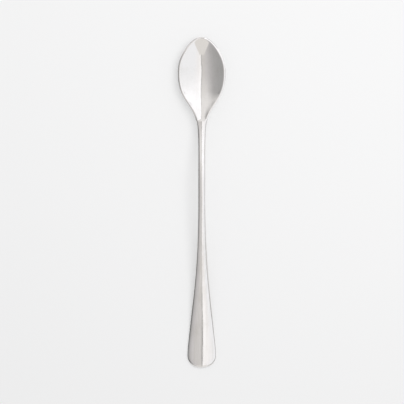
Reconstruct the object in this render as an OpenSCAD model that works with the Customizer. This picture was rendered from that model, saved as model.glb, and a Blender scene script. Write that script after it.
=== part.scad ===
// Iced tea spoon in polished steel: a small pointed oval bowl on a long thin stem that
// widens into a broad handle with a softly rounded top.
//
// The spoon lies as on a table with its hollow upwards and its tip towards +Y. The origin
// is on the table under the middle of the length, and X = 0 is the plane of symmetry.
// Places along the handle are measured from its butt, those along the bowl from its tip.

/* [Overall] */
// Length from the butt of the handle to the tip of the bowl
overall_length = 200; // [188:1:215]

/* [Bowl] */
// Length of the bowl from its tip to the neck line, where the hollow ends
bowl_length = 51; // [44:0.5:58]
// Widest width across the rim
bowl_width = 28.8; // [25:0.2:33]
// Depth of the hollow below the rim where it is deepest
bowl_depth = 5.4; // [4.5:0.1:6.5]
// Thickness of the metal under the deepest point
bowl_wall = 1.6; // [1.3:0.05:2.2]
// Width of the rim seen from above
rim_band = 1.1; // [0.9:0.05:1.5]
// Height of the rim's outer edge
rim_edge = 1.3; // [1.1:0.05:1.7]
// Climb of the rim from the tip to the neck line
rim_climb = 0.8; // [0:0.1:3]

/* [Stem] */
// Width of the stem where it is thinnest
stem_width = 4.3; // [3.8:0.1:5.4]
// Thickness of the stem at its middle
stem_thickness = 3; // [2.7:0.1:3.8]
// Height of the rounded crown on top of the stem
stem_crown = 0.6; // [0.4:0.05:0.8]
// Depth of the rounded belly under the stem
stem_belly = 0.9; // [0.6:0.05:1.1]
// Thickness of the metal at the neck line
neck_thickness = 3.2; // [2.8:0.1:3.8]
// Height of the rounded crown on top of the neck line
neck_crown = 0.5; // [0.3:0.05:0.6]
// Length over which the section at the neck line turns into that of the stem
neck_fade = 9; // [6:0.5:14]

/* [Handle] */
// Widest width of the handle, near the butt
handle_width = 17.2; // [14.6:0.2:20]
// Distance from the butt to the widest place
broad_place = 8; // [7:0.25:11]
// Distance from the butt to where the taper has become the stem
taper_length = 105; // [90:1:112]
// Thickness of the handle at its sides
handle_edge = 1.6; // [1.4:0.05:2.2]
// Rise of the rounded top in its middle above the sides
handle_crown = 1.3; // [0.9:0.05:1.6]
// Length at the butt over which the rounded top runs down to the edge
butt_fade = 2; // [1.5:0.25:5]

/* [Side view] */
// Height of the stem's underside above the table at the top of its arch
crest_height = 11.5; // [9:0.25:14]
// Distance from the butt to the top of the arch
crest_place = 112; // [104:1:120]
// Length of the flat under the butt that lies on the table
land_length = 12; // [8:0.5:18]

/* [Edges] */
// Width over which the upper edge of the bowl's rim rolls off
rim_run = 0.9; // [0.6:0.05:1]
// Drop of the bowl's rim at its outer edge
rim_drop = 0.55; // [0.35:0.05:0.7]
// Width over which the upper edges of the stem and handle roll off
handle_run = 1.2; // [0.8:0.05:1.5]
// Drop of the stem's and handle's top at its outer edge
handle_drop = 0.35; // [0.2:0.05:0.6]
// Radius of the lower edges
under_round = 0.4; // [0.25:0.05:0.5]

/* [Hidden] */

// Outline of the bowl, as shares of its length: the run of the round tip, the middle of the
// shoulder, the softness of that shoulder and the widest place. The last value is how
// quickly the curve of the tip gives way to the sides.
tip_run_share = 0.32;
shoulder_share = 0.786;
shoulder_soft_share = 0.093;
widest_share = 0.41;
tip_turn_share = 6;

// Hollow, shell and rim: how late the shell runs out and the rim climbs on the way to the
// neck line, and where the crown of the neck starts on the rim
shell_late_share = 5;
climb_late_share = 2;
neck_start_share = 0.97;

// Outer edge of the rim: the places between which it comes to roll off less, those between
// which it comes back, and the part of its drop that is lost between
ease_from_share = 0.5;
ease_to_share = 0.72;
back_from_share = 0.9;
lost_share = 0.75;

// Outline of the handle: fullness of the butt, the bend of the taper at each end, and the
// softness of its start
butt_full_share = 2.4;
taper_start_share = 1.2;
taper_end_share = 2.1;
taper_soft_share = 0.06;

// Sections of the handle: the part of the taper over which stem turns into handle, the
// part of the crown that rolls off near the sides, and how close to the sides it does so
blend_share = 0.5;
roll_share = 0.3;
roll_late_share = 6;

// Edges: how quickly they roll off, the part of the rim's band that the roll may take, and
// the part of the thinnest side that the lower rounding may take
edge_late_share = 1.5;
edge_limit_share = 0.85;
under_limit_share = 0.8;

// Counts of the surface grid: columns round each end and along each side, and rows
end_columns = 22;
bowl_columns = 46;
handle_columns = 78;
hollow_rows = 10;
shell_rows = 8;
flat_rows = 6;
round_rows = 3;
samples = 200;

// Places that follow from the sizes
butt_y = -overall_length / 2;
tip_y = overall_length / 2;
neck_place = overall_length - bowl_length;
tip_run = bowl_length * tip_run_share;
widest_place = bowl_length * widest_share;
shoulder_place = bowl_length * shoulder_share;
shoulder_soft = bowl_length * shoulder_soft_share;
stem_edge = stem_thickness - stem_crown - stem_belly;
neck_belly = neck_thickness - neck_crown - rim_edge;
shell_depth = bowl_depth + bowl_wall - rim_edge;
roll_run = min(rim_run, rim_band * edge_limit_share);
thin_side = min(rim_edge - rim_drop, min(stem_edge, handle_edge) - handle_drop);
lower = min(under_round, thin_side * under_limit_share);

function ease(v) = let (c = max(0, min(1, v))) c * c * (3 - 2 * c);
function blend(a, b, w) = a + (b - a) * w;
function run_up(v, full) = 1 - pow(max(0, 1 - v), full);

// A power of v that starts as a soft parabola, so that the curve before it runs on smoothly
function soft_power(v, power, soft) =
    v * v * pow((1 + soft * soft) / (v * v + soft * soft), 1 - power / 2);

// Bowl outline. The half width is the stem's plus a swell that falls off at the shoulder,
// both times the curve of the round tip. The swell is sized to reach the bowl's width.
function tip_round(t, inset) =
    let (v = max(0, (t - inset) / tip_run))
    sqrt(v / pow(1 + pow(v, tip_turn_share), 1 / tip_turn_share));

function shoulder_fall(t) = 1 / (1 + exp((t - shoulder_place) / shoulder_soft));

swell_full = min([for (i = [1:samples])
    let (t = bowl_length * i / samples)
    (bowl_width / 2 / tip_round(t, 0) - stem_width / 2) / shoulder_fall(t)]);

function bowl_swell(t) = swell_full * shoulder_fall(t);

function bowl_half(t, inset) =
    (stem_width / 2 + bowl_swell(t) - inset) * tip_round(t, inset);

// Handle outline. The swell is full at the widest place and gone at the end of the taper.
function handle_swell(s) =
    let (run = max(0, (s - broad_place) / (taper_length - broad_place)))
    (handle_width - stem_width) / 2
    * pow(max(0, 1 - soft_power(run, taper_start_share, taper_soft_share)), taper_end_share);

function handle_half(s, inset) =
    (stem_width / 2 + handle_swell(s) + bowl_swell(overall_length - s) - inset)
    * tip_round(overall_length - s, inset)
    * sqrt(max(0, run_up((s - inset) / (broad_place - inset), butt_full_share)));

// Depth along the bowl: 0 at both ends and 1 at the widest place
function bump(v) =
    let (c = widest_share / (1 - widest_share), e = max(0, min(1, v)))
    4 * c * e * (1 - e) / pow(e + c * (1 - e), 2);

function hollow_run(t) = bump((t - rim_band) / (bowl_length - rim_band));

function shell_run(t) =
    bump(t / bowl_length) * (1 - pow(max(0, t) / bowl_length, shell_late_share));

// How far a place lies from the widest part towards the neck line
function to_neck(t) = ease((t - widest_place) / (bowl_length - widest_place));

// Heights. The rim climbs towards the neck, and the lowest point of the shell is at zero.
function climb(t) = rim_climb * pow(max(0, t) / bowl_length, climb_late_share);

function shell_drop(t, q) =
    rim_edge
    + shell_depth * shell_run(t) * (1 - q * q)
    + neck_belly * to_neck(t) * (1 - q * q);

rim_base = max([for (i = [0:samples])
    shell_drop(bowl_length * i / samples, 0) - climb(bowl_length * i / samples)]);

function rim_z(t) = rim_base + climb(t);

// Drop of a crown from its middle to its sides, with the part that rolls off late
function crown_drop(q) = blend(q * q, pow(q, roll_late_share), roll_share);

// Rise of the rim and of the end of the hollow to the crown of the neck
function neck_rise(x, t) =
    let (w = bowl_half(t, 0), start = neck_start_share * bowl_length)
    neck_crown * ease((t - start) / (bowl_length - start)) * (1 - crown_drop(w > 0 ? min(1, x / w) : 1));

// How far an upper edge rolls off at an inset, and the drop of the rim's outer edge
function edge_sink(drop, run, inset) = drop * pow(max(0, 1 - inset / run), edge_late_share);

function rim_drop_at(t) =
    let (
        v = t / bowl_length,
        less = ease((v - ease_from_share) / (ease_to_share - ease_from_share)),
        back = ease((v - back_from_share) / (1 - back_from_share))
    )
    rim_drop * (1 - lost_share * less * (1 - back));

function band_z(x, t, inset) =
    rim_z(t) + neck_rise(x, t) - edge_sink(rim_drop_at(t), roll_run, inset);

function shell_z(x, t) =
    let (w = bowl_half(t, 0))
    rim_z(t) - shell_drop(t, w > 0 ? min(1, x / w) : 1);

function hollow_z(x, t) =
    let (w = bowl_half(t, rim_band), q = w > 0 ? min(1, x / w) : 1)
    rim_z(t) + neck_rise(x, t) - bowl_depth * hollow_run(t) * (1 - q * q);

// The back of the handle: flat on the table, up to the arch, and down to the neck line
neck_back = rim_z(bowl_length) + neck_crown - neck_thickness;
neck_run = neck_place - crest_place;
neck_slope = -rim_climb * climb_late_share / bowl_length;

function arch(v) =
    blend(crest_height, neck_back, ease(v)) + neck_slope * neck_run * v * v * (v - 1);

function back_z(s) =
    s < crest_place
    ? crest_height * ease((s - land_length) / (crest_place - land_length))
    : arch((s - crest_place) / neck_run);

// Sections of the handle, from the neck line through the stem to the broad end
function neck_part(s) = ease((s - neck_place + neck_fade) / neck_fade);
function broad_part(s) = ease((taper_length - s) / (taper_length * blend_share));
function edge_at(s) = blend(blend(stem_edge, handle_edge, broad_part(s)), rim_edge, neck_part(s));
function belly_at(s) = blend(stem_belly * (1 - broad_part(s)), neck_belly, neck_part(s));
function crown_at(s) =
    blend(blend(stem_crown, handle_crown, broad_part(s)), neck_crown, neck_part(s))
    * run_up(s / butt_fade, butt_full_share);

function under_z(x, s) =
    let (w = handle_half(s, 0), q = w > 0 ? min(1, x / w) : 1)
    back_z(s) + belly_at(s) * q * q;

function top_z(x, s) =
    let (w = handle_half(s, 0), q = w > 0 ? min(1, x / w) : 1)
    back_z(s) + belly_at(s) + edge_at(s) + crown_at(s) * (1 - crown_drop(q));

function run_at(s) = blend(handle_run, roll_run, neck_part(s));

function side_z(x, s, run, inset) =
    top_z(x, s) - edge_sink(blend(handle_drop, rim_drop, neck_part(s)), run, inset);

// Place along a side for column i: close together round the end, then evenly to the neck.
// The inset moves a point in from the outline, and the axis is reached at share 1.
function along(i, middle, far, columns, inset) =
    i <= end_columns
    ? inset + (middle - inset) * pow(i / end_columns, 2)
    : middle + (far - middle) * (i - end_columns) / (columns - end_columns);

function axis_of(i, middle, far, columns) = max(middle, along(i, middle, far, columns, 0));

// Plan points [x, place] of both parts
function bowl_plan(i, inset, share) =
    let (
        t = along(i, widest_place, bowl_length, bowl_columns, inset),
        axis = axis_of(i, widest_place, bowl_length, bowl_columns)
    )
    [bowl_half(t, inset) * (1 - share), blend(t, axis, share)];

function handle_plan(i, inset, share) =
    let (
        s = along(i, broad_place, neck_place, handle_columns, inset),
        axis = axis_of(i, broad_place, neck_place, handle_columns)
    )
    [handle_half(s, inset) * (1 - share), blend(s, axis, share)];

// One column of the bowl: out under the shell, round the rim and in over the hollow
function bowl_column(i) = concat(
    [for (k = [0:shell_rows])
        let (p = bowl_plan(i, lower, 1 - k / shell_rows)) [p[0], p[1], shell_z(p[0], p[1])]],
    [for (k = [1:round_rows])
        let (
            a = 90 * (1 - k / round_rows),
            p = bowl_plan(i, lower * (1 - cos(a)), 0)
        )
        [p[0], p[1], shell_z(p[0], p[1]) + lower * (1 - sin(a))]],
    [for (k = [0:round_rows])
        let (inset = roll_run * k / round_rows, p = bowl_plan(i, inset, 0))
        [p[0], p[1], band_z(p[0], p[1], inset)]],
    [for (k = [0:hollow_rows])
        let (p = bowl_plan(i, rim_band, k / hollow_rows)) [p[0], p[1], hollow_z(p[0], p[1])]]
);

// One column of the handle: out under the back, round the side and in over the top
function handle_column(i) =
    let (run = run_at(along(i, broad_place, neck_place, handle_columns, 0)))
    concat(
        [for (k = [0:flat_rows])
            let (p = handle_plan(i, lower, 1 - k / flat_rows))
            [p[0], p[1], under_z(p[0], p[1])]],
        [for (k = [1:round_rows])
            let (
                a = 90 * (1 - k / round_rows),
                p = handle_plan(i, lower * (1 - cos(a)), 0)
            )
            [p[0], p[1], under_z(p[0], p[1]) + lower * (1 - sin(a))]],
        [for (k = [0:round_rows])
            let (inset = run * k / round_rows, p = handle_plan(i, inset, 0))
            [p[0], p[1], side_z(p[0], p[1], run, inset)]],
        [for (k = [1:flat_rows])
            let (p = handle_plan(i, run, k / flat_rows))
            [p[0], p[1], top_z(p[0], p[1])]]
    );

// Skin over a full set of columns, from the neck line round the free end and back. The
// first and last rows meet on the axis.
module skin(columns, side) {
    n = len(columns) - 1;
    m = len(columns[0]) - 1;
    points = concat(
        [for (j = [-n:n]) for (p = columns[abs(j)]) [j < 0 ? -p[0] : p[0], p[1] * side, p[2]]],
        [[0, columns[n][0][1] * side, (columns[n][0][2] + columns[n][m][2]) / 2]]
    );
    core = len(points) - 1;
    function seat(j, k) =
        let (column = k == 0 || k == m ? max(abs(j), end_columns) : j)
        (column + n) * (m + 1) + k;
    function distinct(f) = f[0] != f[1] && f[1] != f[2] && f[2] != f[0];
    wall = [for (j = [-n:n - 1]) for (k = [0:m - 1])
        let (a = seat(j, k), b = seat(j + 1, k), c = seat(j + 1, k + 1), d = seat(j, k + 1))
        for (f = [[a, b, c], [a, c, d]]) if (distinct(f)) f];
    cap = [for (k = [0:m - 1])
        for (f = [
            [core, seat(-n, k), seat(-n, k + 1)],
            [core, seat(n, k + 1), seat(n, k)]
        ]) if (distinct(f)) f];
    faces = concat(wall, cap);
    polyhedron(points, side > 0 ? faces : [for (f = faces) [f[0], f[2], f[1]]]);
}

// The bowl, with its columns counted from the tip
module bowl() {
    color("silver")
    translate([0, tip_y, 0])
    skin([for (i = [0:bowl_columns]) bowl_column(i)], -1);
}

// The stem and handle, with their columns counted from the butt
module handle() {
    color("silver")
    translate([0, butt_y, 0])
    skin([for (i = [0:handle_columns]) handle_column(i)], 1);
}

bowl();
handle();
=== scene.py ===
"""Iced tea spoon in polished steel, lying on a pale studio floor and seen from above.

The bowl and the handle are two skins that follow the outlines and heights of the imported
solids, with finer rims. Lengths are in metres, +Y points to the tip of the bowl.
"""

import math

import bmesh
import bpy
from bpy.props import FloatProperty, FloatVectorProperty, PointerProperty
from bpy.types import Operator, Panel, PropertyGroup
from mathutils import Matrix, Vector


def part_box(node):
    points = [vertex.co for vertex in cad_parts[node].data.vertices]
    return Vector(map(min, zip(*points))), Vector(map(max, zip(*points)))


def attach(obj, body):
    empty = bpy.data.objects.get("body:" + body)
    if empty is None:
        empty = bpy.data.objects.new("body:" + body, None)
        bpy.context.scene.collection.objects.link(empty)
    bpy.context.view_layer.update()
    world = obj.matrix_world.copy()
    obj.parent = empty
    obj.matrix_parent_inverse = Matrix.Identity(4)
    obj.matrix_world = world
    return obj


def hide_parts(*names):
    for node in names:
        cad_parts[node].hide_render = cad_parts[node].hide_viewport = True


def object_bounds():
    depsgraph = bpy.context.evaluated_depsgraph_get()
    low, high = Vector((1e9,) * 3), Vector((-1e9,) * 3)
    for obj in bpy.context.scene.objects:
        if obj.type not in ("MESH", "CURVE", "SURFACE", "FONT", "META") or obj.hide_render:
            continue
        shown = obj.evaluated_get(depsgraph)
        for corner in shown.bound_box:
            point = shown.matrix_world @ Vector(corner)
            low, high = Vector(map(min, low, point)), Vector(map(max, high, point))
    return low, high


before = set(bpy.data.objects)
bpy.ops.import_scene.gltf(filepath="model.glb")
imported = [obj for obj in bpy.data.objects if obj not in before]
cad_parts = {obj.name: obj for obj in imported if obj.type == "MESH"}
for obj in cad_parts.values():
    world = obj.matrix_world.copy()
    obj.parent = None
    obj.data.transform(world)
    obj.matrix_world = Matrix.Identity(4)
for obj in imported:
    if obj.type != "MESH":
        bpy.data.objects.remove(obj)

bl_info = {
    "name": "Iced tea spoon",
    "version": (1, 0, 0),
    "blender": (4, 5, 0),
    "location": "View3D > Sidebar > Spoon",
    "description": "Makes a polished iced tea spoon and the studio around it",
    "category": "Add Mesh",
}

CAD_LOW, CAD_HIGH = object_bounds()
BOWL_LOW, BOWL_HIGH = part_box("bowl")

# Counts of the skins' grids: columns round the free end and along the side, and rows
BOWL_COLUMNS = (90, 130)
HANDLE_COLUMNS = (44, 360)
BOWL_ROWS = {"under": 34, "lower": 6, "corner": 4, "edge": 12, "band": 3, "hollow": 46}
HANDLE_ROWS = {"under": 12, "lower": 6, "corner": 4, "edge": 12, "top": 22}
# Powers that draw the grid together at the free end, the hollow's lip and the handle's sides
END_SPACING = 2
HOLLOW_SPACING = 1.5
TOP_SPACING = 1.2
WELD = 1e-7

# How the curves bend. Places are shares of the bowl's length from its tip.
CROWN_LATE_SHARE = 0.3  # share of a crown's drop that comes late, near the sides
CROWN_LATE_POWER = 6
TAPER_START_POWER = 1.2  # how the handle's width starts to fall from its broad place
TAPER_START_SOFT = 0.06
TAPER_END_POWER = 2.1  # how it settles on the width of the stem
BUTT_FULLNESS = 2.4  # 2 is an ellipse, and more is squarer
BROAD_SHARE = 0.5  # share of the taper over which the broad handle's section fades out
SHELL_END_POWER = 5  # how late the shell comes up to the neck line
CLIMB_POWER = 2  # how the rim climbs from the tip
EDGE_POWER = 1.5  # how an upper edge rolls off
NECK_RISE_START = 0.97  # where the rim begins to rise to the neck's rounded top
RIM_CALM = 0.75  # how much less the rim rolls off between the next two places
RIM_CALM_START = (0.5, 0.72)
RIM_CALM_END = (0.9, 1.0)

OUTLINE_SAMPLES = 200
SLOPE_STEP = 1e-6


class SpoonSizes(PropertyGroup):
    """Sizes of the spoon. Places along the bowl count from its tip, others from the butt."""

    def length(label, text, default):
        """One length in metres, as a property."""
        return FloatProperty(
            name=label, description=text, default=default, unit="LENGTH", precision=5
        )

    def share(label, text, default):
        """One plain number, as a property."""
        return FloatProperty(name=label, description=text, default=default)

    overall: length("Overall length", "From the butt to the tip", CAD_HIGH.y - CAD_LOW.y)
    bowl: length("Bowl length", "From the tip to the neck line", BOWL_HIGH.y - BOWL_LOW.y)
    bowl_width: length("Bowl width", "Widest width across the rim", 0.0288)
    bowl_depth: length("Bowl depth", "Depth of the hollow below the rim", 0.0054)
    bowl_wall: length("Bowl wall", "Metal under the deepest point", 0.0016)
    rim_band: length("Rim band", "Width of the rim seen from above", 0.0011)
    rim_edge: length("Rim edge", "Height of the rim's outer edge", 0.0013)
    rim_climb: length("Rim climb", "Climb of the rim from the tip to the neck line", 0.0008)
    lip_soft: length("Lip softness", "Rounding where the rim turns into the hollow", 0.00028)
    stem_width: length("Stem width", "Width of the stem where it is thinnest", 0.0043)
    stem_thickness: length("Stem thickness", "Thickness of the stem at its middle", 0.003)
    stem_crown: length("Stem crown", "Height of the rounded top of the stem", 0.0006)
    stem_belly: length("Stem belly", "Depth of the rounded underside of the stem", 0.0009)
    neck_thickness: length("Neck thickness", "Metal at the neck line", 0.0032)
    neck_fade: length("Neck fade", "Length over which the neck turns into the stem", 0.009)
    handle_width: length("Handle width", "Widest width of the handle", 0.0172)
    broad_place: length("Broad place", "From the butt to the widest place", 0.008)
    taper: length("Taper length", "From the butt to where the stem begins", 0.105)
    handle_edge: length("Handle edge", "Thickness of the handle at its sides", 0.0016)
    handle_crown: length("Handle crown", "Rise of the handle's top in its middle", 0.0013)
    butt_fade: length("Butt fade", "Length over which the top runs down at the butt", 0.002)
    crest_height: length("Crest height", "Height of the arch above the table", 0.0115)
    crest_place: length("Crest place", "From the butt to the top of the arch", 0.112)
    land: length("Land length", "Flat under the butt that lies on the table", 0.012)
    neck_crown: length("Neck crown", "Height of the rounded top at the neck line", 0.0005)
    rim_run: length("Rim run", "Width over which the rim's upper edge rolls off", 0.0009)
    handle_run: length("Handle run", "Width over which the handle's upper edges roll off", 0.0012)
    rim_drop: length("Rim drop", "Drop of the rim at its outer edge", 0.00055)
    handle_drop: length("Handle drop", "Drop of the handle's top at its edge", 0.00035)
    corner: length("Corner radius", "Radius of the upper corners", 0.00008)
    lower: length("Lower edge radius", "Radius of the lower edges", 0.0004)
    widest: share("Widest place", "Share of the bowl's length at which it is widest", 0.41)
    shoulder: share("Shoulder", "Share of the bowl's length at its shoulder", 0.786)
    shoulder_soft: share("Shoulder softness", "Softness of the shoulder as a share", 0.093)
    tip_run: share("Tip run", "Run of the round tip as a share of the bowl's length", 0.32)
    tip_turn: share("Tip turn", "How quickly the tip gives way to the sides", 6.0)


class SpoonFinish(PropertyGroup):
    """Colours of the steel and the studio."""

    def colour(label, text, default):
        """One colour, as a property."""
        limits = {"min": 0.0, "max": 2.0}
        return FloatVectorProperty(
            name=label, description=text, subtype="COLOR", size=3, default=default, **limits
        )

    steel: colour("Steel", "Colour of the polished steel", (0.81, 0.797, 0.785))
    steel_worn: colour("Worn steel", "Colour where the polish is duller", (0.745, 0.73, 0.705))
    floor: colour("Floor", "Colour of the floor", (0.90, 0.90, 0.90))
    backdrop: colour("Backdrop", "Colour behind the floor", (0.90, 0.90, 0.90))


# Curves


def ease(v):
    """0 below 0, 1 above 1, and a smooth step between."""
    c = max(0.0, min(1.0, v))
    return c * c * (3 - 2 * c)


def rise(v, low, high):
    """0 up to low, 1 from high on, and a smooth step between."""
    return ease((v - low) / (high - low))


def blend(a, b, w):
    """The value that lies the share w of the way from a to b."""
    return a + (b - a) * w


def run_up(v, full):
    """Rises from 0 at v = 0 and levels out at 1 from v = 1 on."""
    return 1 - max(0.0, 1 - v) ** full


def soft_power(v, power, soft):
    """A power of v that starts as a soft parabola."""
    return v * v * ((1 + soft * soft) / (v * v + soft * soft)) ** (1 - power / 2)


def crown_drop(q):
    """Drop of a rounded top from its middle to its sides, with a part that rolls off late."""
    return blend(q * q, q**CROWN_LATE_POWER, CROWN_LATE_SHARE)


def share_of(x, half):
    """How far x lies from the middle to the outline, as a share."""
    return min(1.0, x / half) if half > 0 else 1.0


class SpoonShape:
    """Outlines and heights of the spoon, worked out from its sizes.

    t is a place along the bowl from its tip, s one along the handle from its butt, and
    inset a distance in from the outline seen from above.
    """

    def __init__(self, sizes):
        self.sizes = sizes
        self.tip_run = sizes.bowl * sizes.tip_run
        self.widest = sizes.bowl * sizes.widest
        self.neck_place = sizes.overall - sizes.bowl
        self.stem_edge = sizes.stem_thickness - sizes.stem_crown - sizes.stem_belly
        self.neck_belly = sizes.neck_thickness - sizes.neck_crown - sizes.rim_edge
        self.swell_full = min(
            (sizes.bowl_width / 2 / self.tip_round(t, 0) - sizes.stem_width / 2)
            / self.shoulder_fall(t)
            for t in self.samples(1)
        )
        self.rim_base = max(self.shell_drop(t, 0) - self.climb(t) for t in self.samples(0))
        self.neck_back = self.rim_height(sizes.bowl) + sizes.neck_crown - sizes.neck_thickness

    def samples(self, first):
        """Places along the bowl, evenly spaced."""
        return [self.sizes.bowl * i / OUTLINE_SAMPLES for i in range(first, OUTLINE_SAMPLES + 1)]

    # Outlines

    def tip_round(self, t, inset):
        """The curve of the round tip, from 0 at the outline to 1 at the sides."""
        v = max(0.0, (t - inset) / self.tip_run)
        return math.sqrt(v / (1 + v**self.sizes.tip_turn) ** (1 / self.sizes.tip_turn))

    def shoulder_fall(self, t):
        """How much of the bowl's swell is left at t."""
        past = t / self.sizes.bowl - self.sizes.shoulder
        return 1 / (1 + math.exp(past / self.sizes.shoulder_soft))

    def bowl_half(self, t, inset):
        """Half width of the bowl."""
        swell = self.swell_full * self.shoulder_fall(t)
        return (self.sizes.stem_width / 2 + swell - inset) * self.tip_round(t, inset)

    def handle_half(self, s, inset):
        """Half width of the stem and handle."""
        run = max(0.0, (s - self.sizes.broad_place) / (self.sizes.taper - self.sizes.broad_place))
        start = soft_power(run, TAPER_START_POWER, TAPER_START_SOFT)
        taper = max(0.0, 1 - start) ** TAPER_END_POWER
        from_tip = self.sizes.overall - s
        half = (
            blend(self.sizes.stem_width, self.sizes.handle_width, taper) / 2
            + self.swell_full * self.shoulder_fall(from_tip)
            - inset
        )
        butt = run_up((s - inset) / (self.sizes.broad_place - inset), BUTT_FULLNESS)
        return half * self.tip_round(from_tip, inset) * math.sqrt(max(0.0, butt))

    # Heights of the bowl

    def to_neck(self, t):
        """0 up to the widest place and 1 at the neck line."""
        return rise(t, self.widest, self.sizes.bowl)

    def bump(self, v):
        """Depth along the bowl: 0 at both ends and 1 at the widest place."""
        c = self.sizes.widest / (1 - self.sizes.widest)
        e = max(0.0, min(1.0, v))
        return 4 * c * e * (1 - e) / (e + c * (1 - e)) ** 2

    def hollow_run(self, t):
        """Depth of the hollow along its middle, as a share."""
        return self.bump((t - self.sizes.rim_band) / (self.sizes.bowl - self.sizes.rim_band))

    def climb(self, t):
        """Climb of the rim since the tip."""
        return self.sizes.rim_climb * (max(0.0, t) / self.sizes.bowl) ** CLIMB_POWER

    def shell_drop(self, t, q):
        """Drop of the shell below the rim, q of the way from the middle to the outline."""
        v = max(0.0, t) / self.sizes.bowl
        depth = self.sizes.bowl_depth + self.sizes.bowl_wall - self.sizes.rim_edge
        shell = depth * self.bump(v) * (1 - v**SHELL_END_POWER)
        neck = self.neck_belly * self.to_neck(t)
        return self.sizes.rim_edge + (shell + neck) * (1 - q * q)

    def rim_height(self, t):
        """Height of the rim's top."""
        return self.rim_base + self.climb(t)

    def neck_rise(self, x, t):
        """Rise of the rim and of the end of the hollow to the neck's rounded top."""
        q = share_of(x, self.bowl_half(t, 0))
        near = rise(t / self.sizes.bowl, NECK_RISE_START, 1.0)
        return self.sizes.neck_crown * near * (1 - crown_drop(q))

    def edge_sink(self, drop, run, inset):
        """How far an upper edge rolls off at an inset from the outline."""
        return drop * max(0.0, 1 - inset / run) ** EDGE_POWER

    def rim_drop(self, t):
        """Drop of the rim's outer edge, which is less between the middle and the neck line."""
        v = t / self.sizes.bowl
        calm = rise(v, *RIM_CALM_START) * (1 - rise(v, *RIM_CALM_END))
        return self.sizes.rim_drop * (1 - RIM_CALM * calm)

    def shell_height(self, x, t):
        """Height of the underside of the bowl."""
        return self.rim_height(t) - self.shell_drop(t, share_of(x, self.bowl_half(t, 0)))

    def hollow_depth(self, x, t):
        """Depth of the hollow before its lip is softened."""
        q = share_of(x, self.bowl_half(t, self.sizes.rim_band))
        return self.sizes.bowl_depth * self.hollow_run(t) * (1 - q * q)

    def wall_slope(self, t):
        """Slope of the hollow's wall at its lip."""
        t = max(t, self.sizes.rim_band + 2 * SLOPE_STEP)
        half = self.bowl_half(t, self.sizes.rim_band)
        turn = (half - self.bowl_half(t - SLOPE_STEP, self.sizes.rim_band)) / SLOPE_STEP
        return 2 * self.sizes.bowl_depth * self.hollow_run(t) * math.sqrt(1 + turn * turn) / half

    def softened(self, depth, t):
        """A depth with the lip rounded: the rim sinks a little before the hollow starts."""
        soft = self.sizes.lip_soft * (1 - self.to_neck(t))
        return (depth + math.sqrt(depth * depth + soft * soft)) / 2

    # Heights of the handle

    def back_height(self, s):
        """Height of the back: flat at the butt, up to the arch, down to the neck line.

        It meets the neck line at the slope of the bowl's rim.
        """
        sizes = self.sizes
        if s < sizes.crest_place:
            return sizes.crest_height * rise(s, sizes.land, sizes.crest_place)
        run = self.neck_place - sizes.crest_place
        v = (s - sizes.crest_place) / run
        rim_slope = -CLIMB_POWER * sizes.rim_climb / sizes.bowl
        fall = blend(sizes.crest_height, self.neck_back, ease(v))
        return fall + rim_slope * run * v * v * (v - 1)

    def neck_part(self, s):
        """1 at the neck line and 0 on the stem."""
        return rise(s, self.neck_place - self.sizes.neck_fade, self.neck_place)

    def broad_part(self, s):
        """1 on the broad handle and 0 on the stem."""
        return ease((self.sizes.taper - s) / (self.sizes.taper * BROAD_SHARE))

    def belly(self, s):
        """Depth of the rounded underside."""
        stem = self.sizes.stem_belly * (1 - self.broad_part(s))
        return blend(stem, self.neck_belly, self.neck_part(s))

    def under_height(self, x, s):
        """Height of the underside."""
        q = share_of(x, self.handle_half(s, 0))
        return self.back_height(s) + self.belly(s) * q * q

    def top_height(self, x, s):
        """Height of the top, with its crown."""
        q = share_of(x, self.handle_half(s, 0))
        broad, neck = self.broad_part(s), self.neck_part(s)
        edge = blend(self.stem_edge, self.sizes.handle_edge, broad)
        edge = blend(edge, self.sizes.rim_edge, neck)
        crown = blend(self.sizes.stem_crown, self.sizes.handle_crown, broad)
        crown = blend(crown, self.sizes.neck_crown, neck)
        crown *= run_up(s / self.sizes.butt_fade, BUTT_FULLNESS)
        return self.back_height(s) + self.belly(s) + edge + crown * (1 - crown_drop(q))


def along(column, counts, middle, far, inset):
    """Place of a column: close together round the free end, then evenly to the neck line."""
    ends, sides = counts
    if column <= ends:
        return inset + (middle - inset) * (column / ends) ** END_SPACING
    return middle + (far - middle) * (column - ends) / sides


def stations(rows):
    """The rows of a skin in order, as pairs of zone and share of that zone."""
    return [(zone, k / count) for zone, count in rows.items() for k in range(count + 1)]


def rounded(radius, share):
    """A quarter round: its inset from the side and how far it lies below its top."""
    turn = math.radians(90 * share)
    return radius * (1 - math.cos(turn)), radius * (1 - math.sin(turn))


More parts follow.
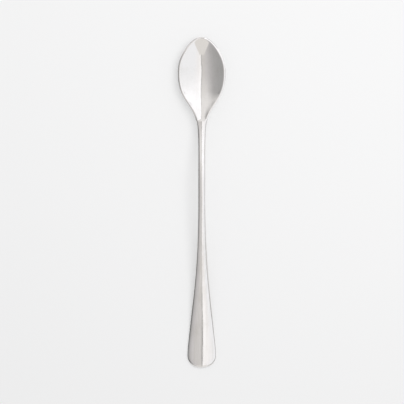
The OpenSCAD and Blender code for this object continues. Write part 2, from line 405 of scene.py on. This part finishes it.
def bowl_point(shape, column, zone, share):
    """Point of the bowl's skin in one column, from the middle below to the middle above."""
    sizes = shape.sizes

    def place(inset):
        return along(column, BOWL_COLUMNS, shape.widest, sizes.bowl, inset)

    def plan(inset, inward):
        t = place(inset)
        inner = max(shape.widest, place(0))
        return shape.bowl_half(t, inset) * (1 - inward), blend(t, inner, inward)

    t_lip = place(sizes.rim_band)
    slope = shape.wall_slope(t_lip)

    def rim(x, t, inset):
        height = shape.rim_height(t) + shape.neck_rise(x, t)
        sunk = shape.edge_sink(shape.rim_drop(t), sizes.rim_run, inset)
        return height - sunk - shape.softened((inset - sizes.rim_band) * slope, t_lip)

    if zone == "under":
        x, t = plan(sizes.lower, 1 - share)
        height = shape.shell_height(x, t)
    elif zone == "lower":
        inset, below = rounded(sizes.lower, 1 - share)
        x, t = plan(inset, 0)
        height = shape.shell_height(x, t) + below
    elif zone == "corner":
        inset, below = rounded(sizes.corner, share)
        x, t = plan(inset, 0)
        height = rim(x, t, inset) - below
    elif zone in ("edge", "band"):
        ends = {"edge": (sizes.corner, sizes.rim_run), "band": (sizes.rim_run, sizes.rim_band)}
        inset = blend(*ends[zone], share)
        x, t = plan(inset, 0)
        height = rim(x, t, inset)
    else:
        x, t = plan(sizes.rim_band, share**HOLLOW_SPACING)
        depth = shape.softened(shape.hollow_depth(x, t), t)
        height = shape.rim_height(t) + shape.neck_rise(x, t) - depth
    return x, sizes.overall / 2 - t, height


def handle_point(shape, column, zone, share):
    """Point of the handle's skin in one column, from the middle below to the middle above."""
    sizes = shape.sizes

    def place(inset):
        return along(column, HANDLE_COLUMNS, sizes.broad_place, shape.neck_place, inset)

    def plan(inset, inward):
        s = place(inset)
        inner = max(sizes.broad_place, place(0))
        return shape.handle_half(s, inset) * (1 - inward), blend(s, inner, inward)

    run = blend(sizes.handle_run, sizes.rim_run, shape.neck_part(place(0)))

    def top(x, s, inset):
        drop = blend(sizes.handle_drop, sizes.rim_drop, shape.neck_part(s))
        return shape.top_height(x, s) - shape.edge_sink(drop, run, inset)

    if zone == "under":
        x, s = plan(sizes.lower, 1 - share)
        height = shape.under_height(x, s)
    elif zone == "lower":
        inset, below = rounded(sizes.lower, 1 - share)
        x, s = plan(inset, 0)
        height = shape.under_height(x, s) + below
    elif zone == "corner":
        inset, below = rounded(sizes.corner, share)
        x, s = plan(inset, 0)
        height = top(x, s, inset) - below
    elif zone == "edge":
        inset = blend(sizes.corner, run, share)
        x, s = plan(inset, 0)
        height = top(x, s, inset)
    else:
        x, s = plan(run, share**TOP_SPACING)
        height = top(x, s, run)
    return x, s - sizes.overall / 2, height


def skin(name, columns, rows, shape, point):
    """A closed skin from a grid whose columns run from the free end to the neck line.

    The grid covers the right half. It is mirrored, its ends are welded on the axis, and
    the neck line is capped.
    """
    order = stations(rows)
    bm = bmesh.new()
    half = 0.5
    bmesh.ops.create_grid(bm, x_segments=columns, y_segments=len(order) - 1, size=half)
    for vert in bm.verts:
        column = round((vert.co.x + half) * columns)
        zone, share = order[round((vert.co.y + half) * (len(order) - 1))]
        vert.co = point(shape, column, zone, share)
    bmesh.ops.remove_doubles(bm, verts=bm.verts[:], dist=WELD)
    halves = bm.verts[:] + bm.edges[:] + bm.faces[:]
    bmesh.ops.mirror(bm, geom=halves, matrix=Matrix.Identity(4), merge_dist=WELD, axis="X")
    bmesh.ops.remove_doubles(bm, verts=bm.verts[:], dist=WELD)
    rim = [edge for edge in bm.edges if edge.is_boundary]
    cap = bmesh.ops.holes_fill(bm, edges=rim, sides=0)["faces"]
    for edge in rim:
        edge.smooth = False
    bmesh.ops.triangulate(bm, faces=cap)
    bmesh.ops.recalc_face_normals(bm, faces=bm.faces[:])
    for face in bm.faces:
        face.smooth = True
    mesh = bpy.data.meshes.new(name)
    bm.to_mesh(mesh)
    bm.free()
    piece = bpy.data.objects.new(name, mesh)
    bpy.context.scene.collection.objects.link(piece)
    return piece


# Shader sums


class Wire:
    """An output of a shader node. A Python sum with wires adds its Math nodes."""

    def __init__(self, graph, socket):
        self.graph = graph
        self.socket = socket

    def out(self, name):
        """Another output of the same node."""
        return Wire(self.graph, self.socket.node.outputs[name])

    def math(self, operation, *values):
        """A Math node on the given values."""
        values = dict(enumerate(values))
        return self.graph.node("ShaderNodeMath", {"operation": operation}, values)

    def __add__(self, other):
        return self.math("ADD", self, other)

    def __radd__(self, other):
        return self.math("ADD", other, self)

    def __sub__(self, other):
        return self.math("SUBTRACT", self, other)

    def __rsub__(self, other):
        return self.math("SUBTRACT", other, self)

    def __mul__(self, other):
        return self.math("MULTIPLY", self, other)

    def __rmul__(self, other):
        return self.math("MULTIPLY", other, self)

    def largest(self, other):
        """The larger of two values."""
        return self.math("MAXIMUM", self, other)

    def absolute(self):
        """The value without its sign."""
        return self.math("ABSOLUTE", self)

    def step(self, low, high):
        """A smooth step from 0 at low to 1 at high."""
        settings = {"interpolation_type": "SMOOTHSTEP"}
        values = {"Value": self, "From Min": low, "From Max": high}
        return self.graph.node("ShaderNodeMapRange", settings, values)


class Graph:
    """The nodes of one material or world."""

    def __init__(self, owner):
        owner.use_nodes = True
        self.tree = owner.node_tree
        self.tree.nodes.clear()

    def node(self, kind, settings=None, values=None, output=0):
        """Adds a node, sets its settings, then its sockets' values or links."""
        made = self.tree.nodes.new(kind)
        for key, value in (settings or {}).items():
            if key == "stops":
                self.set_stops(made.color_ramp, value)
            else:
                setattr(made, key, value)
        for key, value in (values or {}).items():
            if isinstance(value, Wire):
                self.tree.links.new(value.socket, made.inputs[key])
            else:
                made.inputs[key].default_value = value
        if len(made.outputs) == 0:
            return None
        return Wire(self, made.outputs[output])

    @staticmethod
    def set_stops(ramp, stops):
        """Gives a colour ramp its stops, as pairs of place and colour."""
        while len(ramp.elements) < len(stops):
            ramp.elements.new(1.0)
        for element, (place, colour) in zip(ramp.elements, stops):
            element.position = place
            element.color = (*colour, 1.0)

    def mix(self, factor, a, b, kind="MIX"):
        """Mixes two colours. Counted from 0, they go into sockets 6 and 7 and come out of 2."""
        settings = {"data_type": "RGBA", "blend_type": kind}
        return self.node("ShaderNodeMix", settings, {0: factor, 6: a, 7: b}, 2)

    def stretched(self, place, scale, turn=0.0):
        """Places scaled for a pattern, and turned about Z by an angle in degrees."""
        rotation = (0.0, 0.0, math.radians(turn))
        values = {"Vector": place, "Rotation": rotation, "Scale": scale}
        return self.node("ShaderNodeMapping", values=values)

    def noise(self, coordinates, scale, detail=2.0, rough=0.5):
        """A noise between about 0.3 and 0.7."""
        values = {"Vector": coordinates, "Scale": scale, "Detail": detail, "Roughness": rough}
        return self.node("ShaderNodeTexNoise", {"noise_dimensions": "3D"}, values)


def rgba(colour, gain=1.0):
    """A colour with full alpha, made lighter or darker by a gain."""
    return (*(part * gain for part in colour), 1.0)


# Finish of the steel: its roughness where it is clean, what haze and wiping marks add to it,
# the depth of its relief in metres with the share of the marks in it, where on Y the lengthwise
# streaks fade and the share of them left on the bowl, and how far the worn colour comes in
CLEAN_ROUGHNESS = 0.075
HAZE_ROUGHNESS = 0.05
MARK_ROUGHNESS = 0.03
RELIEF_DEPTH = 0.000016
MARK_RELIEF = 0.06
STREAK_FADE = (0.03, 0.06)
BOWL_STREAKS = 0.15
WORN_BASE = 0.25
WORN_BY_HAZE = 0.5
WORN_BY_STREAKS = 0.6

# Patterns of the finish: how they are stretched, the turn of the marks in degrees, the scale,
# detail and roughness of each noise, and the soft edge that is cut out of it
BAND_STRETCH = (1.0, 0.06, 1.0)
BAND_NOISE = (700.0, 3.0, 0.55)
BAND_EDGE = (0.38, 0.62)
MARK_STRETCH = (1.0, 0.12, 1.0)
MARK_TURN = 12
MARK_NOISE = (5200.0, 2.0, 0.6)
MARK_EDGE = (0.55, 0.75)
HAZE_NOISE = (90.0, 4.0, 0.6)
HAZE_EDGE = (0.42, 0.72)


def polished_steel(finish):
    """Mirror polish with a faint haze, fine wiping marks, and bands of polish lengthwise,
    which show as streaks on the handle."""
    material = bpy.data.materials.new("spoon_steel")
    graph = Graph(material)
    place = graph.node("ShaderNodeTexCoord").out("Object")
    y = graph.node("ShaderNodeSeparateXYZ", values={"Vector": place}).out("Y")
    bands = graph.noise(graph.stretched(place, BAND_STRETCH), *BAND_NOISE)
    marks = graph.noise(graph.stretched(place, MARK_STRETCH, MARK_TURN), *MARK_NOISE)
    dull = graph.noise(place, *HAZE_NOISE).step(*HAZE_EDGE)
    haze = dull * HAZE_ROUGHNESS
    roughness = CLEAN_ROUGHNESS + haze + marks.step(*MARK_EDGE) * MARK_ROUGHNESS
    on_handle = 1 - y.step(*STREAK_FADE) * (1 - BOWL_STREAKS)
    streaks = (bands.step(*BAND_EDGE) - 0.5) * on_handle
    worn = WORN_BASE + dull * WORN_BY_HAZE + streaks * WORN_BY_STREAKS
    colour = graph.mix(worn, rgba(finish.steel), rgba(finish.steel_worn))
    relief = {"Distance": RELIEF_DEPTH, "Height": bands + marks * MARK_RELIEF}
    normal = graph.node("ShaderNodeBump", values={"Strength": 1.0, **relief})
    shader = graph.node(
        "ShaderNodeBsdfPrincipled",
        values={"Base Color": colour, "Metallic": 1.0, "Roughness": roughness, "Normal": normal},
    )
    graph.node("ShaderNodeOutputMaterial", values={"Surface": shader})
    return material


def dress(piece, node, finish):
    """Gives a piece its steel and its place in the frame."""
    material = bpy.data.materials.get("spoon_steel") or polished_steel(finish)
    piece.data.materials.append(material)
    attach(piece, "root")
    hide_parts(node)


# Studio


# The floor: its half size and its gap under the spoon in metres, the tone and scale of its
# darker patches, and the plain tones at its front and back, which are painted light that falls
# off towards the front, with the places on Y between them
FLOOR_HALF = 3.0
FLOOR_GAP = 0.00002
PATCH_TONE = 0.995
PATCH_SCALE = 6.0
PAPER_ROUGHNESS = 0.9
PAINTED_FRONT_SHADE = 0.945
PAINTED_BACK_LIGHT = 1.06
PAINTED_LIGHT_FALL = (-0.24, 0.26)
PLAIN_SHARE = 0.5

# The room that the metal mirrors. Places are parts of a direction one unit long: x to the
# right, y towards the tip and z up. Each pair of places is a soft edge between two tones.
PANEL_PLACE = 0.012
PANEL_SET_BACK = 0.04
PANEL_SET_BACK_EDGE = (-0.16, -0.04)
PANEL_CURVE = 0.25
PANEL_EDGE = (-0.01, 0.012)
SEAM_DARK = 0.45
SEAM_START = (-0.055, -0.03)
SEAM_END = (-0.005, 0.005)
GLINT = 0.10
GLINT_FADE = (0.02, 0.25)
PANEL_MIDDLE_TONE = (1.085, 1.07, 1.075)
PANEL_OUTER_TONE = (1.07, 1.08, 1.11)
PANEL_OUTER_EDGE = (0.2, 0.6)
PANEL_FAR_TONE = (1.30, 1.30, 1.34)
PANEL_FAR_EDGE = (0.0, 0.62)
PANEL_LOW_TONE = (0.42, 0.42, 0.42)

WALL_TONES = [
    (0.0, (0.76, 0.74, 0.73)),
    (0.2, (0.74, 0.72, 0.71)),
    (0.35, (0.70, 0.68, 0.685)),
    (0.48, (0.635, 0.62, 0.625)),
    (0.57, (0.585, 0.57, 0.575)),
    (0.66, (0.535, 0.525, 0.53)),
    (0.75, (0.49, 0.485, 0.485)),
    (0.85, (0.455, 0.45, 0.45)),
    (0.95, (0.43, 0.43, 0.43)),
    (1.0, (0.15, 0.15, 0.15)),
]
WALL_FAR_TONE = (0.98, 0.965, 0.96)
WALL_FAR_EDGE = (0.08, 0.62)
WALL_FAR_REACH = (0.2, 0.75)
REACH_START = 0.43
REACH_GAIN = 2
CORNER_SHARE = 0.8
CORNER_FAR_EDGE = (0.48, 0.56)
CORNER_LEFT_EDGE = (0.79, 0.86)
WALL_LOW_TONE = (0.08, 0.08, 0.085)

# Low directions are dark, but not far ahead or near the middle
LOW_EDGE = (0.12, 0.3)
OPEN_FAR_START = (0.42, 0.53)
OPEN_FAR_END = (0.61, 0.66)
OPEN_SIDE = (0.3, 0.5)

# A beige wedge in front, which opens from its point and then opens wider
WEDGE_TONE = (0.89, 0.865, 0.84)
WEDGE_POINT = 0.1
WEDGE_OPENING = 0.75
WEDGE_WIDER_FROM = 0.45
WEDGE_WIDER = 0.9
WEDGE_SIDE_EDGE = (-0.02, 0.04)
WEDGE_FRONT_EDGE = (0.36, 0.42)
WEDGE_LOW_EDGE = (0.15, 0.35)

# Even light on everything that isn't mirrored, and the lamp's place in metres, size and power
EVEN_LIGHT = (0.605, 0.605, 0.61)
LAMP_PLACE = (0.26, 0.15, 0.74)
LAMP_SIZE = 0.62
LAMP_POWER = 3.15

# The camera, straight above the spoon
CAMERA_PLACE = (0.00018, 0.00058, 0.8175)
CAMERA_LENS = 120.0
CAMERA_SENSOR = 36.0
CAMERA_NEAR = 0.01


def floor_material(colour):
    """Pale paper. Part of what the camera sees of it is a plain tone, which keeps the shadow
    light;
    that tone is painted light, lighter at the back and falling off towards the front."""
    material = bpy.data.materials.new("floor_paper")
    graph = Graph(material)
    place = graph.node("ShaderNodeTexCoord").out("Object")
    uneven = graph.noise(place, PATCH_SCALE)
    tone = graph.mix(uneven, rgba(colour, PATCH_TONE), rgba(colour))
    paper = graph.node(
        "ShaderNodeBsdfPrincipled",
        values={"Base Color": tone, "Roughness": PAPER_ROUGHNESS, "Specular IOR Level": 0.0},
    )
    # Painted light: the plain tone is lighter at the back and darker at the front, as light falls
    # off
    fall = graph.node("ShaderNodeSeparateXYZ", values={"Vector": place}).out("Y").step(*PAINTED_LIGHT_FALL)
    plain = graph.mix(fall, rgba(colour, PAINTED_FRONT_SHADE), rgba(colour, PAINTED_BACK_LIGHT))
    plain = graph.node("ShaderNodeEmission", values={"Color": plain})
    by_camera = graph.node("ShaderNodeLightPath") * PLAIN_SHARE
    seen = graph.node("ShaderNodeMixShader", values={0: by_camera, 1: paper, 2: plain})
    graph.node("ShaderNodeOutputMaterial", values={"Surface": seen})
    return material


def mirrored_room(graph, x, y, z):
    """The colour of the room in a direction: grey walls on the left, a white panel on the
    right, and a beige wedge in front."""
    side = x.absolute()
    open_far = y.step(*OPEN_FAR_START) * (1 - y.step(*OPEN_FAR_END))
    lit = z.step(*LOW_EDGE).largest(open_far.largest(1 - side.step(*OPEN_SIDE)))

    # How far a direction lies to the right of the panel's edge
    ahead = y.largest(0.0)
    set_back = (1 - y.step(*PANEL_SET_BACK_EDGE)) * PANEL_SET_BACK
    across = x - PANEL_PLACE - set_back - ahead * ahead * PANEL_CURVE
    seam = 1 - across.step(*SEAM_START) * (1 - across.step(*SEAM_END)) * SEAM_DARK
    glint = (1 - across.step(*GLINT_FADE)) * GLINT + 1

    left = 0 - x
    walls = graph.node("ShaderNodeValToRGB", {"stops": WALL_TONES}, {"Fac": left})
    reach = left - (y - REACH_START).largest(0.0) * REACH_GAIN
    far = y.step(*WALL_FAR_EDGE) * (1 - reach.step(*WALL_FAR_REACH))
    corner = y.step(*CORNER_FAR_EDGE) * left.step(*CORNER_LEFT_EDGE) * CORNER_SHARE
    walls = graph.mix(far.largest(corner), walls, rgba(WALL_FAR_TONE))
    walls = graph.mix(lit, rgba(WALL_LOW_TONE), walls)
    walls = graph.mix(1.0, walls, seam, "MULTIPLY")

    outer = x.step(*PANEL_OUTER_EDGE)
    white = graph.mix(outer, rgba(PANEL_MIDDLE_TONE), rgba(PANEL_OUTER_TONE))
    white = graph.mix(y.step(*PANEL_FAR_EDGE), white, rgba(PANEL_FAR_TONE))
    white = graph.mix(lit, rgba(PANEL_LOW_TONE), white)
    white = graph.mix(1.0, white, glint, "MULTIPLY")

    front = 0 - y
    wider = (front - WEDGE_WIDER_FROM).largest(0.0) * WEDGE_WIDER
    wedge = ((front - WEDGE_POINT) * WEDGE_OPENING + wider - side).step(*WEDGE_SIDE_EDGE)
    wedge = wedge * front.step(*WEDGE_FRONT_EDGE) * z.step(*WEDGE_LOW_EDGE)

    seen = graph.mix(across.step(*PANEL_EDGE), walls, white)
    return graph.mix(wedge, seen, rgba(WEDGE_TONE))


def studio_world(finish):
    """Soft light from all sides. The metal sees the room instead, and the camera a pale
    backdrop."""
    world = bpy.data.worlds.new("studio")
    graph = Graph(world)
    towards = graph.node("ShaderNodeTexCoord").out("Generated")
    x = graph.node("ShaderNodeSeparateXYZ", values={"Vector": towards})
    room = mirrored_room(graph, x, x.out("Y"), x.out("Z"))
    path = graph.node("ShaderNodeLightPath")
    colour = graph.mix(path.out("Is Glossy Ray"), rgba(EVEN_LIGHT), room)
    colour = graph.mix(path.out("Is Camera Ray"), colour, rgba(finish.backdrop))
    light = graph.node("ShaderNodeBackground", values={"Color": colour, "Strength": 1.0})
    graph.node("ShaderNodeOutputWorld", values={"Surface": light})
    return world


def area_light(name, place, size, power):
    """A soft lamp that faces the spoon, unseen by the camera and in the metal."""
    data = bpy.data.lights.new(name, "AREA")
    data.shape = "DISK"
    data.size = size
    data.energy = power
    lamp = bpy.data.objects.new(name, data)
    bpy.context.scene.collection.objects.link(lamp)
    lamp.location = place
    lamp.rotation_euler = lamp.location.to_track_quat("Z", "Y").to_euler()
    lamp.visible_camera = False
    lamp.visible_glossy = False
    return lamp


# Add-on


class SPOON_OT_bowl(Operator):
    """Makes the bowl with its rounded rim"""

    bl_idname = "spoon.bowl"
    bl_label = "Bowl"

    def execute(self, context):
        shape = SpoonShape(context.scene.spoon_sizes)
        piece = skin("spoon_bowl", sum(BOWL_COLUMNS), BOWL_ROWS, shape, bowl_point)
        dress(piece, "bowl", context.scene.spoon_finish)
        return {"FINISHED"}


class SPOON_OT_handle(Operator):
    """Makes the stem and the broad handle"""

    bl_idname = "spoon.handle"
    bl_label = "Handle"

    def execute(self, context):
        shape = SpoonShape(context.scene.spoon_sizes)
        piece = skin("spoon_handle", sum(HANDLE_COLUMNS), HANDLE_ROWS, shape, handle_point)
        dress(piece, "handle", context.scene.spoon_finish)
        return {"FINISHED"}


class SPOON_OT_stage(Operator):
    """Makes the floor, the light and the camera"""

    bl_idname = "spoon.stage"
    bl_label = "Studio"

    def execute(self, context):
        scene = context.scene
        finish = scene.spoon_finish
        bm = bmesh.new()
        bmesh.ops.create_grid(bm, x_segments=8, y_segments=8, size=FLOOR_HALF)
        mesh = bpy.data.meshes.new("floor")
        bm.to_mesh(mesh)
        bm.free()
        mesh.transform(Matrix.Translation((0.0, 0.0, CAD_LOW.z - FLOOR_GAP)))
        floor = bpy.data.objects.new("floor", mesh)
        scene.collection.objects.link(floor)
        mesh.materials.append(floor_material(finish.floor))
        scene.world = studio_world(finish)
        area_light("panel_light", LAMP_PLACE, LAMP_SIZE, LAMP_POWER)

        camera = bpy.data.cameras.new("camera")
        camera.lens = CAMERA_LENS
        camera.sensor_width = CAMERA_SENSOR
        camera.clip_start = CAMERA_NEAR
        eye = bpy.data.objects.new("camera", camera)
        eye.location = CAMERA_PLACE
        scene.collection.objects.link(eye)
        scene.camera = eye
        scene.view_settings.view_transform = "Standard"
        return {"FINISHED"}


class SPOON_PT_panel(Panel):
    """Lists the spoon's pieces, sizes and colours"""

    bl_idname = "SPOON_PT_panel"
    bl_label = "Iced tea spoon"
    bl_space_type = "VIEW_3D"
    bl_region_type = "UI"
    bl_category = "Spoon"

    def draw(self, context):
        layout = self.layout
        for maker in MAKERS:
            layout.operator(maker.bl_idname)
        for group in (context.scene.spoon_sizes, context.scene.spoon_finish):
            box = layout.box()
            for name in group.__annotations__:
                box.prop(group, name)


MAKERS = (SPOON_OT_bowl, SPOON_OT_handle, SPOON_OT_stage)
CLASSES = (SpoonSizes, SpoonFinish, *MAKERS, SPOON_PT_panel)


def register():
    """Registers the classes and the properties that hold the sizes and colours."""
    for cls in CLASSES:
        bpy.utils.register_class(cls)
    bpy.types.Scene.spoon_sizes = PointerProperty(type=SpoonSizes)
    bpy.types.Scene.spoon_finish = PointerProperty(type=SpoonFinish)


def unregister():
    """Takes back what register added."""
    del bpy.types.Scene.spoon_finish
    del bpy.types.Scene.spoon_sizes
    for cls in reversed(CLASSES):
        bpy.utils.unregister_class(cls)


def main():
    """Makes everything in order."""
    register()
    bpy.ops.spoon.bowl()
    bpy.ops.spoon.handle()
    bpy.ops.spoon.stage()


if __name__ == "__main__":
    main()
